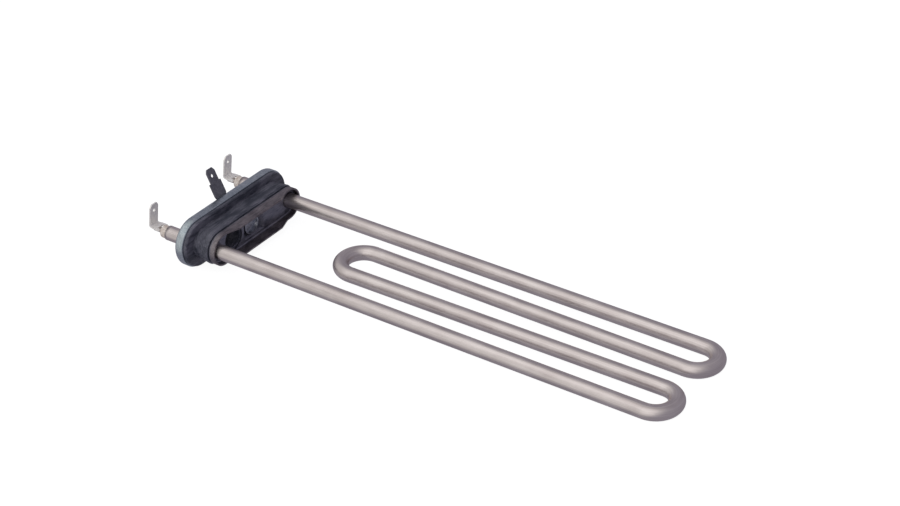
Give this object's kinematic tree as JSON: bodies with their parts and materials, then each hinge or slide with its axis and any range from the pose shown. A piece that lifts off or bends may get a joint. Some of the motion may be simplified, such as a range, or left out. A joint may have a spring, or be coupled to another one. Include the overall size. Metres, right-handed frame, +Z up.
{
  "type": "tubular heating element",
  "caption": "Bent steel heater tube with parallel runs, held in an oval clamp flange with a rubber gasket, push-on terminals, an earth tab and a sensor hole.",
  "frame": {"origin": "centre of the outer plate's rim, on the stud's axis and in the plane of the rim's front edge", "axes": "+X along the tubes towards their far bends, +Y across the flange away from the sensor's hole, +Z up, the way the terminals' tabs point"},
  "size_m": [0.31, 0.0852, 0.04],
  "materials": {
    "sheath_steel": "satin, warm grey",
    "magnesia": "packed powder",
    "coil_wire": "dull",
    "pin_steel": "satin",
    "seal_resin": "matt",
    "bead_ceramic": "matt beige",
    "terminal_nickel": "satin nickel plate",
    "zinc_plate": "blue-grey zinc plate",
    "gasket_rubber": "matt, dusty",
    "cup_steel": "satin, brownish grey",
    "stud_zinc": "zinc plate",
    "earth_steel": "dark grey, satin"
  },
  "bodies": {
    "root": {"heating_tube": "sheath_steel", "insulation_core": "magnesia", "resistance_coil": "coil_wire", "cold_pin_left": "pin_steel", "cold_pin_right": "pin_steel", "end_seal_left": "seal_resin", "end_seal_right": "seal_resin", "insulator_bead_left": "bead_ceramic", "insulator_bead_right": "bead_ceramic", "terminal_left": "terminal_nickel", "terminal_right": "terminal_nickel", "outer_plate": "zinc_plate", "gasket": "gasket_rubber", "inner_plate": "cup_steel", "clamp_stud": "stud_zinc", "earth_tab": "earth_steel", "lock_washer": "stud_zinc", "clamp_nut": "stud_zinc"}
  },
  "joints": []
}
